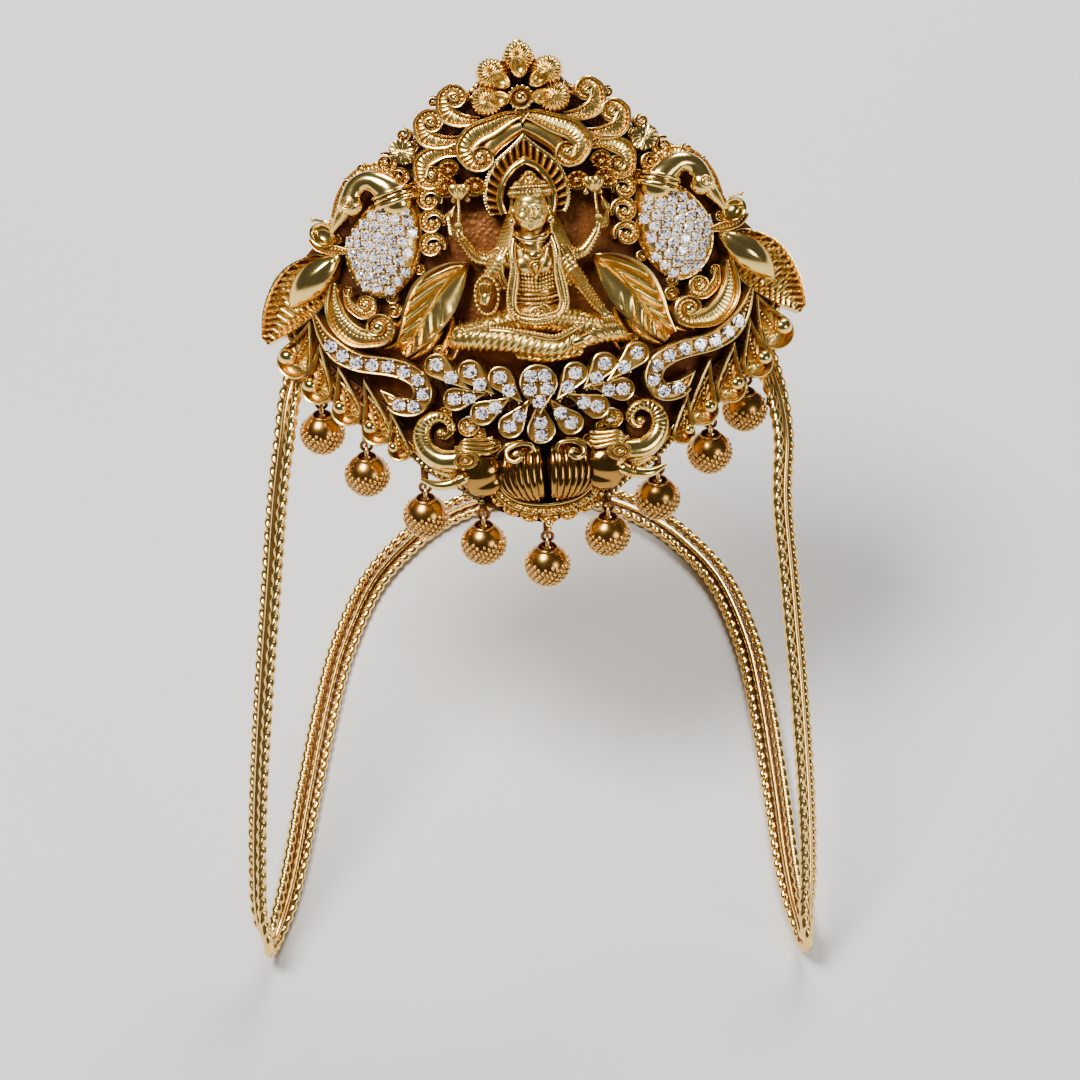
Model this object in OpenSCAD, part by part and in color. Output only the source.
// Armlet for the upper arm: a bent, carved plaque on a three-strand springy band that dips to two
// corners and runs round the back of the arm as an arch. It lies on that arch, plaque upwards.
// Millimetres, +Z up. The plaque is drawn flat-on in its own frame (x across, y up the plaque,
// z out of its face) and then leaned back into place.

/* [Plaque] */
// Radius to which the back plate is bent
bend_r = 55; // [50:1:70]
// Thickness of the back plate
plate_t = 1.0; // [0.8:0.1:1.2]
// Angle at which the plaque rises from the level, degrees
plaque_rise = 44; // [40:1:48]
// Turn of the plaque in its own plane, degrees
plaque_turn = 3; // [0:0.5:4]
// Clearance between neighbouring pieces
gap = 0.1; // [0.06:0.01:0.12]

/* [Stones] */
// Girdle diameter of a round stone
stone_d = 1.2; // [1.0:0.05:1.25]
// Height of a stone from culet to table
stone_h = 0.75; // [0.6:0.05:0.9]
// Clearance between a stone and its seat
seat_gap = 0.06; // [0.04:0.01:0.08]

/* [Band] */
// Diameter of one rope strand
strand_d = 1.2; // [1.0:0.05:1.4]
// Distance between the middles of the two rope strands
strand_gap = 2.1; // [1.8:0.1:2.2]
// How far the top of the arch stands to the right
arch_sway = 1.5; // [0:0.1:2]
// How far the legs bow to the left
leg_sway = 0.5; // [0:0.1:1]

/* [Drops] */
// Diameter of a hanging bead
bead_d = 4.6; // [4.2:0.1:4.8]
// How far the drops swing to the front, degrees
drop_swing = 15; // [0:1:20]
// Radius of the pin's eye, to the middle of its wire
eye_r = 0.75; // [0.7:0.05:0.8]
// Thickness of the wire of eyes and ears
wire_d = 0.38; // [0.3:0.02:0.4]

/* [Hidden] */
gold = "goldenrod";
old_gold = "darkgoldenrod";
stone_tint = "lavender";

// Shift that centres the whole armlet over the origin, and the middle of the plaque before it
stand = [0.5, 1.1, 0.02];
plaque_mid = [0, 10, 57.6];
// Reach of the cutting bodies past the work
over = 40;

// Heights above the back plate, lowest and highest, of each layer of relief
scroll_z = [gap, 2.0];
big_scroll_z = [gap, 2.6];
halo_z = [gap, 2.4];
leaf_z = [gap, 1.5];
lobe_z = [gap, 1.7];
stone_scroll_z = [gap, 2.7];
low_petal_z = [gap, 2.9];
top_petal_z = [gap, 3.7];
fringe_z = [gap, 1.4];
// Depth of a scroll's channel and width of the rim left beside it
channel = 0.6;
rim = 0.32;

// Smooth curve through rows of numbers, each row a point with its width or direction
function blend(a, b, c, d, t) =
    0.5 * (2 * b + (c - a) * t + (2 * a - 5 * b + 4 * c - d) * t * t + (3 * b - a - 3 * c + d) * t * t * t);
function curve(rows, steps) = let (n = len(rows) - 1) concat(
    [for (i = [0 : n - 1]) for (s = [0 : steps - 1])
        blend(rows[max(i - 1, 0)], rows[i], rows[i + 1], rows[min(i + 2, n)], s / steps)],
    [rows[n]]);

// One side of a ribbon whose rows are [x, y, half width]
function ribbon_side(rows, side, inset) = [for (i = [0 : len(rows) - 1])
    let (a = rows[max(i - 1, 0)], b = rows[min(i + 1, len(rows) - 1)])
    let (along = [b[0] - a[0], b[1] - a[1]] / norm([b[0] - a[0], b[1] - a[1]]))
    let (half = side * max(rows[i][2] - inset, 0.03))
    [rows[i][0] - half * along[1], rows[i][1] + half * along[0]]];
function reversed(list) = [for (i = [len(list) - 1 : -1 : 0]) list[i]];

module ribbon(rows, inset = 0, steps = 4) {
    smooth = curve(rows, steps);
    polygon(concat(ribbon_side(smooth, 1, inset), reversed(ribbon_side(smooth, -1, inset))));
}

// Drop-shaped outline from a narrow root to a round end
module drop(root, end, r) {
    dir = atan2(end[1] - root[1], end[0] - root[0]);
    tilt = acos((r - 0.15) / norm(end - root));
    turn = 360 - 2 * tilt;
    round_end = [for (k = [0 : 14]) let (a = dir + 180 + tilt + k * turn / 14) end + r * [cos(a), sin(a)]];
    polygon(concat([root], round_end));
}

// The space between two heights above the bent plate
module shell_space(low, high) {
    translate([0, over, -bend_r])
        rotate([90, 0, 0])
            difference() {
                cylinder(r = bend_r + high, h = 2 * over, $fn = 180);
                translate([0, 0, -1])
                    cylinder(r = bend_r + low, h = 2 * over + 2, $fn = 180);
            }
}

// Raises an outline between two heights above the bent plate
module relief(z) {
    intersection() {
        translate([0, 0, -15])
            linear_extrude(24)
                children();
        shell_space(z[0], z[1]);
    }
}

// Moves work that is drawn level onto the bent plate at a place and height
module on_plate(x, y, h = 0) {
    lean = asin(x / bend_r);
    translate([(bend_r + h) * sin(lean), y, (bend_r + h) * cos(lean) - bend_r])
        rotate([0, lean, 0])
            children();
}

// Takes away what would sink into the plate
module clear_of_plate(h = gap) {
    difference() {
        children();
        translate([0, over, -bend_r])
            rotate([90, 0, 0])
                cylinder(r = bend_r + h, h = 2 * over, $fn = 180);
    }
}

// Leans the whole plaque back into its place above the arch
module in_place() {
    translate(stand + plaque_mid)
        rotate([plaque_rise, 0, 0])
            rotate([0, 0, plaque_turn])
                children();
}

module other_side(left) {
    if (left)
        mirror([1, 0, 0])
            children();
    else
        children();
}

// Rounded bar of a modelled figure, with few facets
module rounded(a, b, ra, rb) {
    hull() {
        translate(a)
            sphere(ra, $fn = 12);
        translate(b)
            sphere(rb, $fn = 12);
    }
}

// Round stone with eight crown facets, a table and a pavilion, girdle at z = 0
module stone() {
    crown = 0.3 * stone_h;
    table_r = 0.3 * stone_d;
    ring = [for (k = [0 : 7]) [cos(45 * k), sin(45 * k), 0]];
    points = concat([for (p = ring) p * table_r + [0, 0, crown]], [for (p = ring) p * stone_d / 2],
        [[0, 0, crown - stone_h]]);
    sides = [for (k = [0 : 7]) let (n = (k + 1) % 8) each [[k, n, 8 + n, 8 + k], [8 + k, 8 + n, 16]]];
    polyhedron(points, concat([[7, 6, 5, 4, 3, 2, 1, 0]], sides));
}

// Seats drilled for stones, and the stones in them, at [x, y] places on the plate
module seats(places, h) {
    for (p = places)
        on_plate(p[0], p[1], h - stone_h)
            cylinder(d = stone_d + 2 * seat_gap, h = 2 * stone_h, $fn = 24);
}
module stones(places, h) {
    for (p = places)
        on_plate(p[0], p[1], h + seat_gap)
            stone();
}

// Back plate: outline [x, y] of its right half, top to bottom
plate_half = [
    [0, 24.6], [3.4, 24.4], [5.2, 22.4], [8.2, 21.2], [10.2, 18.8], [12.6, 16.8], [15, 15.8], [18.4, 14.4],
    [20, 11.6], [21.4, 8.6], [24, 6], [26.2, 3.2], [26.8, 0], [26.2, -2.6], [25.4, -5.8], [22.9, -8.7],
    [20.4, -11], [17.8, -13.4], [14.6, -15.2], [12.2, -17.6], [9.6, -19.2], [6.8, -21.2], [3.6, -22.6], [0, -23.6]
];
// Window between the lotus seat and each elephant's trunk: x, y, radius
window = [7.5, -12.6, 0.8];
// Ears from which the drops hang, left to right: x, y
ears = [[-23.5, -9.7], [-18.85, -14.4], [-12.75, -19.1], [-6.7, -22.3], [0, -25],
    [6.7, -22.2], [12.3, -18.7], [18.3, -14.2], [22.45, -9.95]];
ear_r = 0.56;
ear_depth = 0.58;
stem_d = 0.8;
stem_long = 2.2;

// Puts work at an ear: z downwards along the hanging drop, x across
module at_ear(p) {
    in_place()
        on_plate(p[0], p[1], -ear_depth)
            rotate([0, -asin(p[0] / bend_r), 0])
                rotate([0, 0, -plaque_turn])
                    rotate([180 - plaque_rise - drop_swing, 0, 0])
                        children();
}

module wire_ring(r) {
    rotate_extrude($fn = 48)
        translate([r, 0])
            circle(d = wire_d, $fn = 24);
}

module back_plate() color(old_gold) {
    in_place()
        relief([-plate_t, 0])
            difference() {
                polygon(concat(plate_half, [for (p = reversed(plate_half)) [-p[0], p[1]]]));
                for (side = [-1, 1])
                    translate([side * window[0], window[1]])
                        circle(window[2], $fn = 24);
            }
    // Each ear is a wire ring on a stem that reaches up into the plate
    for (p = ears) {
        at_ear(p)
            rotate([90, 0, 0])
                wire_ring(ear_r);
        in_place()
            on_plate(p[0], p[1] + ear_r - wire_d / 3, -ear_depth)
                rotate([-90, 0, 0])
                    cylinder(d = stem_d, h = stem_long, $fn = 24);
    }
}

// Band, right half from the top of the arch to the end hidden behind the plaque.
// Columns: x, y, z of the middle, then the direction in which its outer face looks
band_half = [
    [0, 32.6, 1.1, 0, 0.5, -0.87],
    [6.4, 31.2, 1.1, 0.1, 0.46, -0.88],
    [12, 28.5, 1.05, 0.15, 0.36, -0.92],
    [16.4, 24.4, 1, 0.18, 0.22, -0.95],
    [20.7, 18, 0.95, 0.2, 0.1, -0.97],
    [23.6, 9, 0.9, 0.22, 0.03, -0.97],
    [25.1, 0, 0.92, 0.26, 0, -0.96],
    [26.4, -12, 1.02, 0.4, 0, -0.91],
    [27.3, -22, 1.25, 0.6, 0, -0.8],
    [28, -27.4, 1.4, 0.76, 0, -0.65],
    [28.7, -31, 1.6, 0.92, 0, -0.4],
    [29.1, -33.6, 2.4, 1, -0.05, -0.1],
    [29.4, -34.6, 4.4, 0.97, -0.15, 0.15],
    [29.6, -33.4, 6.6, 0.92, -0.25, 0.28],
    [29.8, -30.2, 10, 0.88, -0.3, 0.36],
    [29.6, -24, 16, 0.86, -0.33, 0.4],
    [28.9, -16, 23.6, 0.83, -0.36, 0.43],
    [28, -7.87, 31.05, 0.8, -0.39, 0.46],
    [27.2, -0.81, 37.67, 0.79, -0.4, 0.47],
    [26.9, 3.86, 41.99, 0.78, -0.42, 0.47],
    [26.25, 7.75, 44.75, 0.7, -0.48, 0.53],
    [24.9, 11.8, 47.25, 0.5, -0.6, 0.62],
    [24.4, 14.9, 50, 0.46, -0.62, 0.64],
    [24.1, 18.3, 53.2, 0.46, -0.62, 0.64]
];
function sway(y, z) = z < 2 ? arch_sway * min(1, (y + 36) / 50) : z > 5 && z < 40 ? -leg_sway : 0;
function swayed(row) = [row[0] + sway(row[1], row[2]), row[1], row[2], row[3], row[4], row[5]];
function left_row(row) = [-row[0], row[1], row[2], -row[3], row[4], row[5]];
band_rows = concat([for (r = reversed(band_half)) swayed(left_row(r))],
    [for (i = [1 : len(band_half) - 1]) swayed(band_half[i])]);

// Section of the band, across it and out of it: two round strands with the plain wire between
band_section = [for (side = [1, -1]) for (a = [-120 : 60 : 120])
    [side * (strand_gap / 2 + strand_d / 2 * cos(a)), side * strand_d / 2 * sin(a)]];

module arm_band() color(gold) {
    path = curve(band_rows, 3);
    last = len(path) - 1;
    m = len(band_section);
    points = [for (i = [0 : last])
        let (a = path[max(i - 1, 0)], b = path[min(i + 1, last)], here = path[i])
        let (along = [b[0] - a[0], b[1] - a[1], b[2] - a[2]] / norm([b[0] - a[0], b[1] - a[1], b[2] - a[2]]))
        let (face = [here[3], here[4], here[5]], across = cross(along, face) / norm(cross(along, face)))
        let (out = cross(across, along))
        for (s = band_section) [here[0], here[1], here[2]] + s[0] * across + s[1] * out];
    sides = [for (i = [0 : last - 1]) for (k = [0 : m - 1])
        let (n = (k + 1) % m, p = i * m, q = p + m)
        each [[p + k, p + n, q + k], [p + n, q + n, q + k]]];
    translate(stand)
        polyhedron(points, concat([[for (k = [m - 1 : -1 : 0]) k]], sides, [[for (k = [0 : m - 1]) last * m + k]]));
}

// Scroll with a sunk channel, a round curl at its end and a ball in the curl
module scroll(rows, curl, curl_r, z, ball = 0) {
    difference() {
        relief(z) {
            ribbon(rows);
            translate(curl)
                circle(curl_r, $fn = 24);
        }
        relief([z[1] - channel, z[1] + 2])
            ribbon(rows, rim);
        relief([z[1] - channel, z[1] + 2])
            translate(curl)
                circle(curl_r - rim, $fn = 24);
    }
    if (ball > 0)
        on_plate(curl[0], curl[1], z[1] - channel)
            sphere(ball, $fn = 24);
}

// Crest flower: five petals round a ringed button, with a knob at the tip
crest_mid = [0, 21.2];
module crest_flower() color(gold) in_place() {
    difference() {
        relief([gap, 3]) {
            for (a = [0 : 45 : 180])
                drop(crest_mid, crest_mid + (a == 90 ? 4.1 : 3.5) * [cos(a), sin(a)], 1.55);
            translate(crest_mid)
                circle(1.4, $fn = 32);
        }
        for (a = [0 : 45 : 180])
            on_plate(crest_mid[0] + 2.6 * cos(a), crest_mid[1] + 2.6 * sin(a), 3.9)
                sphere(1.25, $fn = 24);
    }
    on_plate(crest_mid[0], crest_mid[1], 2) {
        cylinder(r = 1.1, h = 1.7, $fn = 32);
        translate([0, 0, 1.6])
            sphere(0.75, $fn = 32);
    }
    on_plate(0, 26.2, 2.1)
        sphere(0.6, $fn = 24);
}

// Scrolls round the crest, right side. Columns: x, y, half width
big_scroll = [[1.2, 19.2, 0.3], [3.2, 18.6, 0.7], [5.2, 17.9, 0.85], [6.1, 16.5, 0.8], [5.2, 15.2, 0.7]];
comma_upper = [[4.6, 17.9, 0.3], [6.6, 19, 0.6], [7.9, 20.4, 0.7], [7.5, 21.6, 0.6]];
comma_lower = [[6.4, 16.6, 0.3], [8.6, 16.7, 0.6], [10.2, 17.5, 0.7], [10.5, 19, 0.6]];
third_scroll = [[6.7, 15, 0.3], [8.3, 15.6, 0.6], [10.3, 15.2, 0.65], [10.6, 14, 0.55]];
// Small curls down the side of the niche and behind the peacock: x, y, radius
small_curls = [
    [9.75, 11.1, 0.95], [9.6, 8.9, 0.95], [9.9, 6.6, 1], [14.4, 15.6, 1], [12.9, 14, 0.8], [11.3, 12.6, 0.8]
];
// Shell-shaped fan beside the third scroll: centre x, y and radius
shell_fan = [12.7, 16.4, 1.3];
module crest_scrolls(left) color(gold) in_place() other_side(left) {
    scroll(big_scroll, [4.3, 15.3], 1, big_scroll_z, 0.5);
    scroll(comma_upper, [6.7, 21.6], 0.95, scroll_z, 0.5);
    scroll(comma_lower, [9.6, 19.2], 0.9, scroll_z, 0.45);
    scroll(third_scroll, [9.6, 13.6], 0.8, scroll_z, 0.4);
    relief([gap, 1.2]) {
        translate([shell_fan[0], shell_fan[1]])
            circle(shell_fan[2], $fn = 24);
        ribbon([[7.2, 15.9, 0.4], [9.6, 16.4, 0.5], [12.4, 16.2, 0.7]]);
    }
    for (c = small_curls) {
        relief([gap, 1.5])
            translate([c[0], c[1]])
                circle(c[2], $fn = 24);
        on_plate(c[0], c[1], 1.5)
            sphere(0.5 * c[2], $fn = 24);
    }
    relief([gap, 0.9]) {
        ribbon([[9.7, 12.2, 0.5], [9.7, 9, 0.5], [9.9, 5.6, 0.4]]);
        ribbon([[9.7, 12.2, 0.4], [11.6, 13, 0.5], [14.4, 15.8, 0.5]]);
    }
}

// Halo: a pointed arch with a raised inner rim. Columns: x, y of its right edge, outer and inner
halo_outer = [[0, 17.2], [1.4, 15.9], [2.9, 14.6], [4, 12.9], [4.4, 11], [4.2, 9.4]];
halo_inner = [[2.7, 9.4], [2.8, 11], [2.3, 12.7], [1.3, 14], [0, 14.6]];
function both_sides(half) = concat(half, [for (p = reversed(half)) [-p[0], p[1]]]);
module halo() color(gold) in_place() {
    inner_to_rim = [for (p = halo_inner) p + 0.45 * [p[0], p[1] - 9.4] / norm([p[0], p[1] - 9.39])];
    difference() {
        relief(halo_z)
            polygon(both_sides(halo_outer));
        relief([-1, halo_z[1] + 1])
            polygon(both_sides(reversed(halo_inner)));
        relief([halo_z[1] - 0.8, halo_z[1] + 1])
            difference() {
                polygon(both_sides(halo_outer));
                polygon(both_sides(reversed(inner_to_rim)));
            }
    }
}

// Seated figure with four arms on the lotus, built of rounded limbs
module goddess() color(gold) in_place() clear_of_plate(gap) {
    // Head, crown and neck
    translate([0, 9.6, 3.6])
        sphere(1.5, $fn = 40);
    translate([0, 8.9, 3.7])
        sphere(1.25, $fn = 40);
    translate([0, 10.2, 3.3])
        rotate([-90, 0, 0])
            cylinder(r1 = 1.55, r2 = 0.25, h = 3.2, $fn = 40);
    rounded([0, 8.6, 3], [0, 5.6, 2.6], 0.8, 1);
    // Hair down each side of the neck
    for (side = [-1, 1])
        rounded([side * 1.3, 9.6, 2.4], [side * 2.7, 5.6, 2], 0.6, 0.9);
    // Body
    rounded([-2.3, 5, 2.4], [2.3, 5, 2.4], 1.3, 1.3);
    rounded([-1, 3.4, 2.6], [1, 3.4, 2.6], 1.7, 1.7);
    rounded([-0.7, 0.4, 2.4], [0.7, 0.4, 2.4], 1.6, 1.6);
    rounded([-1.7, -2.2, 2.2], [1.7, -2.2, 2.2], 1.7, 1.7);
    for (side = [-1, 1]) {
        // Upper arm, raised forearm and the lotus that it holds
        rounded([side * 3.4, 4.9, 2.2], [side * 5.7, 4.7, 2], 0.85, 0.7);
        rounded([side * 5.7, 4.7, 2], [side * 7, 8.4, 2.2], 0.7, 0.5);
        rounded([side * 7, 8.4, 2.2], [side * 6.9, 11.2, 2], 0.3, 0.35);
        translate([side * 6.9, 11.2, 2])
            rotate([-90, 0, 0])
                cylinder(r1 = 0.5, r2 = 1.35, h = 1.5, $fn = 24);
        // Lower upper-arm
        rounded([side * 3.2, 4.2, 2.6], [side * 5.2, 0.9, 2.8], 0.85, 0.7);
        // Folded leg
        rounded([side * 2.2, -2.6, 2.4], [side * 6.9, -3.3, 2.3], 1.4, 1.15);
        rounded([side * 6.9, -3.3, 2.3], [side * 1.2, -4.3, 3], 1.15, 0.95);
    }
    // Hand raised in blessing and hand resting on the knee
    rounded([-5.2, 0.9, 2.8], [-4.5, 0.3, 4], 0.7, 0.5);
    rounded([-4.5, 0.3, 4], [-4.4, 1.9, 4.4], 0.6, 0.45);
    rounded([5.2, 0.9, 2.8], [6.5, -1.4, 3.6], 0.7, 0.5);
    rounded([6.5, -1.4, 3.6], [6.7, -2.4, 3.8], 0.55, 0.45);
}

// Petals of the lotus seat, right side and middle: root x, y, then end x, y and radius
top_petals = [[6.9, -9.2, 9.85, -6.2, 1.2], [4.6, -9.8, 6.6, -7.05, 1.2], [1.9, -10.8, 3.7, -7.9, 1.2]];
low_petals = [[5, -9.6, 8.35, -9.85, 1.2], [2.6, -10.2, 5.7, -11.5, 1.25], [0.8, -10.6, 3, -13, 1.25]];
// Stones of the lotus seat, right side: x, y
top_stones = [[9.85, -6.15], [8.5, -7.55], [6.6, -7.05], [5.75, -8.45], [3.7, -7.85], [2.9, -9.25],
    [0.7, -7.9], [0.85, -9.3]];
low_stones = [[8.4, -9.85], [6.95, -9.85], [5.75, -11.5], [4.4, -11], [3.05, -13.05], [2.05, -12]];
mid_top_stone = [[0, -10.6]];
mid_low_stones = [[0, -12.85], [0, -14.15]];
function mirrored(places) = concat(places, [for (p = places) [-p[0], p[1]]]);

module petal_outline(petals, mid_root, mid_end, mid_r) {
    for (side = [-1, 1])
        for (p = petals)
            drop([side * p[0], p[1]], [side * p[2], p[3]], p[4]);
    drop(mid_root, mid_end, mid_r);
}
module lotus_seat() color(gold) in_place() {
    difference() {
        union() {
            relief(low_petal_z) {
                petal_outline(low_petals, [0, -10.5], [0, -13.6], 1.4);
                ribbon([[-7.6, -9.1, 0.6], [-4, -10, 1], [0, -10.6, 1.6], [4, -10, 1], [7.6, -9.1, 0.6]]);
            }
            relief(top_petal_z)
                petal_outline(top_petals, [0, -12], [0, -8.6], 1.85);
        }
        seats(concat(mirrored(top_stones), mid_top_stone), top_petal_z[1]);
        seats(concat(mirrored(low_stones), mid_low_stones), low_petal_z[1]);
    }
}
module lotus_stones() color(stone_tint) in_place() {
    stones(concat(mirrored(top_stones), mid_top_stone), top_petal_z[1]);
    stones(concat(mirrored(low_stones), mid_low_stones), low_petal_z[1]);
}

// Peacock, right side, drawn level about the middle of its body
peacock_mid = [15.4, 6.9];
peacock_lean = 14;
body_long = 5.3;
body_wide = 3.9;
dome_r = 11;
body_top = 3.3;
// Stones down the body: how many lie in each row
row_counts = [2, 3, 4, 5, 4, 5, 4, 3, 2];
row_pitch = 1.17;
stone_pitch = 1.48;
dome_places = [for (i = [0 : len(row_counts) - 1]) for (k = [0 : row_counts[i] - 1])
    [(k - (row_counts[i] - 1) / 2) * stone_pitch, (4 - i) * row_pitch - 0.15]];

module at_peacock() {
    on_plate(peacock_mid[0], peacock_mid[1])
        rotate([0, 0, peacock_lean])
            children();
}
module on_dome(p) {
    out = norm(p);
    translate([0, 0, body_top - dome_r])
        rotate([0, asin(out / dome_r), atan2(p[1], p[0])])
            translate([0, 0, dome_r])
                children();
}
module peacock(left) color(gold) in_place() other_side(left) clear_of_plate(gap) {
    at_peacock() {
        difference() {
            intersection() {
                translate([0, 0, -2])
                    linear_extrude(8)
                        polygon([for (a = [0 : 10 : 350])
                            [body_wide * cos(a) * (1 - 0.12 * sin(a)), body_long * sin(a)]]);
                translate([0, 0, body_top - dome_r])
                    sphere(dome_r, $fn = 120);
            }
            for (p = dome_places)
                on_dome(p)
                    translate([0, 0, -stone_h])
                        cylinder(d = stone_d + 2 * seat_gap, h = 2 * stone_h, $fn = 24);
        }
    }
    // Root of the neck under the top stones, collar, arched neck, head and beak
    relief([gap, 1.4])
        ribbon([[14.2, 10.8, 1.2], [14.4, 13, 1.3]]);
    on_plate(14.35, 12.4, 1.5)
        rotate([-80, 0, 8])
            cylinder(r1 = 1.7, r2 = 1.3, h = 0.8, $fn = 32);
    on_plate(16.1, 12.3, 2.5) {
        rotate_extrude(angle = 180, $fn = 64)
            translate([1.75, 0])
                circle(1.1, $fn = 32);
        translate([1.9, -0.3, 0.1])
            sphere(1.3, $fn = 32);
        translate([2, -0.9, 0])
            rotate([90, 0, 28])
                cylinder(r1 = 0.9, r2 = 0.3, h = 2.2, $fn = 32);
    }
    // Petal-shaped curl beyond the beak
    scroll([[18.3, 6.4, 0.4], [20.3, 7, 0.5], [21.5, 8.2, 0.6]], [20.9, 9.2], 1.1, [gap, 1.9], 0.4);
}
module peacock_stones(left) color(stone_tint) in_place() other_side(left) at_peacock() {
    for (p = dome_places)
        on_dome(p)
            translate([0, 0, seat_gap])
                stone();
}

// Leaves, right side. Columns: x, y, half width
outer_leaf_rows = [[20.4, 5.2, 0.4], [21.6, 4.6, 1.9], [23.8, 2.5, 2.9], [26.2, -0.3, 2.1], [28.2, -3.1, 0.15]];
inner_leaf_rows = [[6.5, 3.9, 0.12], [7.9, 3.2, 1.3], [9.8, 1.4, 2.2], [11.2, -0.9, 1.9], [12.3, -3, 1.1],
    [13.3, -4.3, 0.5]];
module outer_leaf(left) color(gold) in_place() other_side(left) clear_of_plate(gap) {
    difference() {
        relief(leaf_z)
            ribbon(outer_leaf_rows, 0, 5);
        relief([leaf_z[1] - 0.5, leaf_z[1] + 1])
            ribbon(outer_leaf_rows, 0.5, 5);
    }
    // Smooth pod along the middle
    on_plate(23.3, 2.5, 0.6)
        rotate([0, 0, -43])
            scale([1, 0.6, 0.6])
                sphere(3.1, $fn = 48);
}
module inner_leaf(left) color(gold) in_place() other_side(left) {
    difference() {
        relief([gap, 2])
            ribbon(inner_leaf_rows, 0, 5);
        relief([1.4, 3])
            ribbon([for (r = inner_leaf_rows) [r[0] - 0.5 * r[2], r[1] - 0.3 * r[2], 0.4 * r[2]]], 0, 5);
    }
}

// Plain scroll that cups the peacock from below, right side. Columns: x, y, half width
cup_rows = [[20.1, 2.6, 0.3], [20.4, 0.8, 0.5], [19.9, -1.4, 0.65], [18.4, -2.9, 0.7], [16.4, -3.2, 0.65]];
module curl_scroll(left) color(gold) in_place() other_side(left) {
    scroll(cup_rows, [15.9, -2.2], 1.1, [gap, 2.2], 0.6);
    scroll([[20, 1.6, 0.3], [19.1, 0.1, 0.5], [17.9, -0.6, 0.5]], [17.4, 0.2], 0.8, [gap, 1.6], 0.5);
}

// Stone-set scroll, right side. Columns: x, y, half width
stone_scroll_rows = [
    [22.1, -0.2, 0.2], [21.3, -2.4, 0.6], [19.9, -4.3, 0.95], [18.1, -5.4, 0.95], [16.5, -5.8, 0.95],
    [14.9, -6.1, 0.95], [13.4, -6.6, 0.95], [12, -7.6, 0.95], [11.6, -9.1, 0.95], [12.5, -10.4, 0.95],
    [14, -10.3, 0.95], [14.9, -9.8, 0.7]
];
scroll_places = [[20.6, -3.55], [19.5, -4.65], [18.1, -5.45], [16.55, -5.8], [14.9, -6.1], [13.35, -6.7],
    [12, -7.65], [11.6, -9.15], [12.55, -10.4], [14.05, -10.15]];
module stone_scroll(left) color(gold) in_place() other_side(left) {
    difference() {
        relief(stone_scroll_z)
            ribbon(stone_scroll_rows);
        seats(scroll_places, stone_scroll_z[1]);
    }
}
module scroll_stones(left) color(stone_tint) in_place() other_side(left)
    stones(scroll_places, stone_scroll_z[1]);

// Fan of hollow lobes along the lower edge, right side: root x, y, end x, y, radius
lobes = [[22.6, -1, 25.1, -5, 1.9], [21.8, -3.2, 22.9, -8.1, 1.65], [20, -5.6, 19.9, -10.6, 1.6],
    [17.4, -7, 16.9, -12.8, 1.6], [15.1, -10.4, 14.7, -15, 1.2]];
// Share of a lobe's length at which its hollow begins
hollow_start = 0.18;
module lobe_fan(left) color(gold) in_place() other_side(left) {
    difference() {
        relief(lobe_z)
            difference() {
                union() {
                    for (p = lobes)
                        drop([p[0], p[1]], [p[2], p[3]], p[4]);
                    // Web that holds the lobes together behind the stone-set scroll
                    ribbon([[23.6, -4.4, 0.5], [21.8, -6.6, 0.8], [19.3, -8.6, 0.9], [16.8, -10.6, 0.9],
                        [14.7, -12.8, 0.7]]);
                }
                ribbon([for (r = stone_scroll_rows) [r[0], r[1], r[2] + gap]]);
                translate([14.9, -9.8])
                    circle(0.7 + gap, $fn = 24);
            }
        for (p = lobes)
            let (root = [p[0], p[1]], end = [p[2], p[3]])
                relief([lobe_z[1] - 0.7, lobe_z[1] + 1])
                    drop(root + hollow_start * (end - root), end, p[4] - rim);
    }
    for (p = lobes)
        on_plate(p[2] + 0.25, p[3] + 0.1, lobe_z[1] - 0.4)
            sphere(0.42 * p[4], $fn = 24);
}

// Elephant's head, right side: round head towards the pot, trunk curled up at the outside
module elephant(left) color(gold) in_place() other_side(left) clear_of_plate(gap) {
    on_plate(8.7, -16.6, 1.4) {
        sphere(2.2, $fn = 40);
        translate([0.6, -1.2, 0.5])
            rotate([0, 90, -20])
                cylinder(r1 = 0.6, r2 = 0.25, h = 2.9, $fn = 24);
    }
    // Trunk and its curl
    on_plate(10.8, -13.5, 1.6) {
        rotate([0, 0, -140])
            rotate_extrude(angle = 260, $fn = 64)
                translate([1.35, 0])
                    circle(0.85, $fn = 32);
        translate([-0.6, 0.8, 0])
            sphere(0.85, $fn = 32);
    }
}

// Fluted lotus pot: a dome round an upright axis behind its face
pot_mid = [0, -18.4];
pot_r = 5.1;
pot_flat = 0.64;
module lotus_pot() color(gold) in_place() clear_of_plate(gap) {
    translate([pot_mid[0], pot_mid[1], 0.6])
        scale([1, pot_flat, pot_flat])
            sphere(pot_r, $fn = 64);
}
// Scalloped fringe under the pot, with a ball at each scallop
scallops = [for (a = [-60 : 20 : 60]) [5.4 * sin(a), -19.3 - 3.3 * cos(a)]];
module pot_fringe() color(gold) in_place() {
    relief(fringe_z)
        difference() {
            union() {
                translate([0, -17.4])
                    scale([1, 0.8])
                        circle(6, $fn = 60);
                for (p = scallops)
                    translate(p)
                        circle(0.85, $fn = 20);
            }
            translate([0, pot_mid[1]])
                scale([1, pot_flat + 0.04])
                    circle(pot_r + gap, $fn = 64);
            translate([-10, -19.4])
                square([20, 20]);
        }
}

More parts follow.
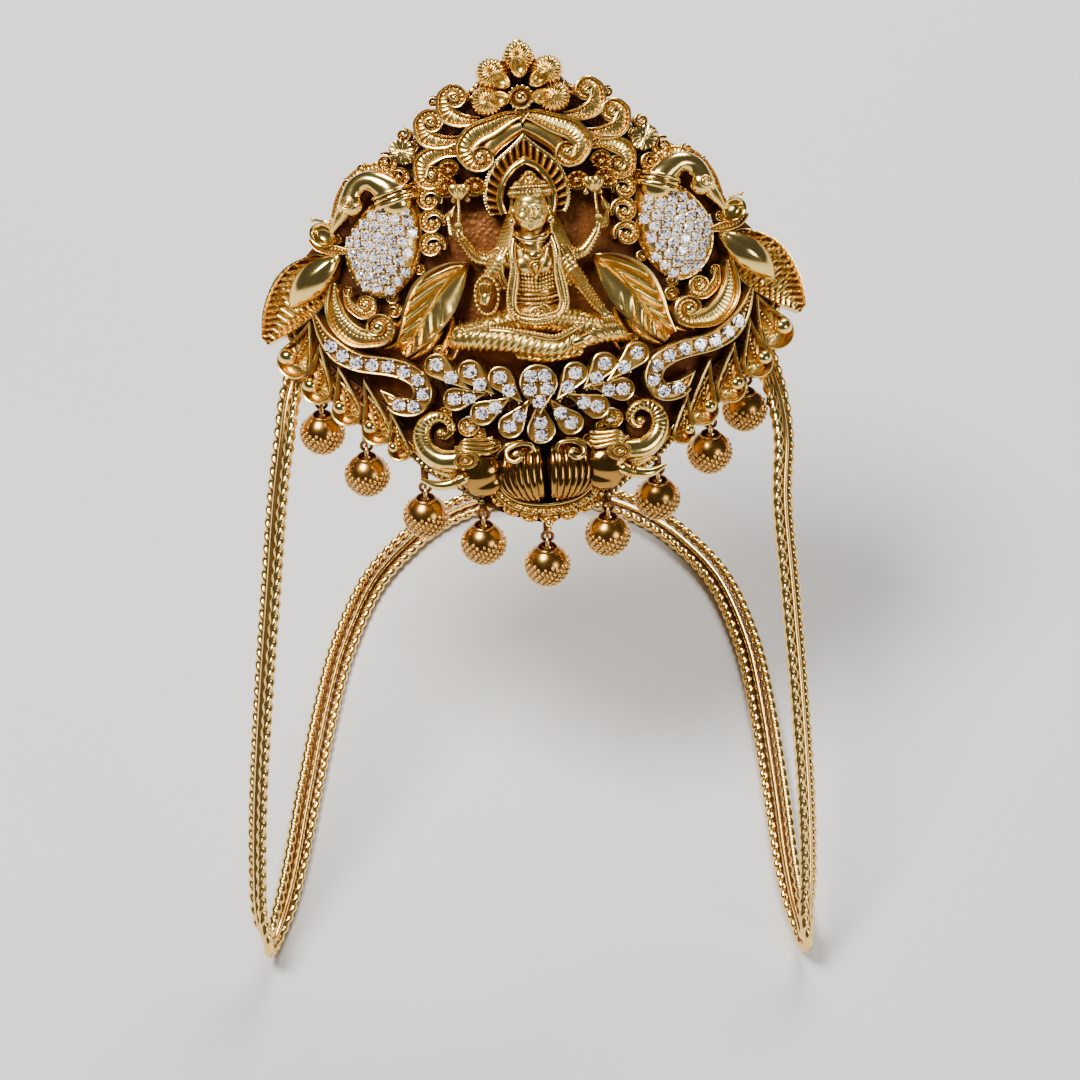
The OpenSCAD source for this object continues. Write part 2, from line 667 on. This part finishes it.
// Drops: bead threaded on a pin whose eye is linked through the ear
rim_z = 1.3;
collar_r = 1.05;
collar_h = 0.3;
bore_r = 0.85;
bead_z = rim_z + collar_h + sqrt(pow(bead_d / 2, 2) - pow(collar_r, 2)) - 0.05;
pin_r = 0.25;
module bead(i) color(old_gold) at_ear(ears[i]) {
    difference() {
        union() {
            translate([0, 0, bead_z])
                sphere(d = bead_d, $fn = 64);
            translate([0, 0, rim_z])
                cylinder(r = collar_r, h = 1, $fn = 32);
        }
        translate([0, 0, rim_z - 1])
            cylinder(r = bore_r, h = 2.2, $fn = 32);
        translate([0, 0, rim_z])
            cylinder(r = pin_r + gap, h = 2 * bead_d, $fn = 32);
    }
}
module pin(i) color(old_gold) at_ear(ears[i]) {
    foot = bead_z + bead_d / 2 + gap;
    translate([0, 0, eye_r])
        rotate([0, 90, 0])
            wire_ring(eye_r);
    translate([0, 0, 2 * eye_r])
        cylinder(r = pin_r, h = foot - 2 * eye_r + 0.1, $fn = 24);
    translate([0, 0, foot])
        cylinder(r1 = 0.6, r2 = 0.15, h = 0.8, $fn = 24);
}

back_plate();
arm_band();
goddess();
halo();
lotus_seat();
crest_flower();
lotus_pot();
pot_fringe();
crest_scrolls(true);  // crest_scrolls_left
crest_scrolls(false);  // crest_scrolls_right
peacock(true);  // peacock_left
peacock(false);  // peacock_right
outer_leaf(true);  // outer_leaf_left
outer_leaf(false);  // outer_leaf_right
inner_leaf(true);  // inner_leaf_left
inner_leaf(false);  // inner_leaf_right
curl_scroll(true);  // curl_scroll_left
curl_scroll(false);  // curl_scroll_right
stone_scroll(true);  // stone_scroll_left
stone_scroll(false);  // stone_scroll_right
lobe_fan(true);  // lobe_fan_left
lobe_fan(false);  // lobe_fan_right
elephant(true);  // elephant_left
elephant(false);  // elephant_right
peacock_stones(true);  // peacock_stones_left
peacock_stones(false);  // peacock_stones_right
scroll_stones(true);  // scroll_stones_left
scroll_stones(false);  // scroll_stones_right
lotus_stones();
bead(0);  // bead_1
bead(1);  // bead_2
bead(2);  // bead_3
bead(3);  // bead_4
bead(4);  // bead_5
bead(5);  // bead_6
bead(6);  // bead_7
bead(7);  // bead_8
bead(8);  // bead_9
pin(0);  // pin_1
pin(1);  // pin_2
pin(2);  // pin_3
pin(3);  // pin_4
pin(4);  // pin_5
pin(5);  // pin_6
pin(6);  // pin_7
pin(7);  // pin_8
pin(8);  // pin_9
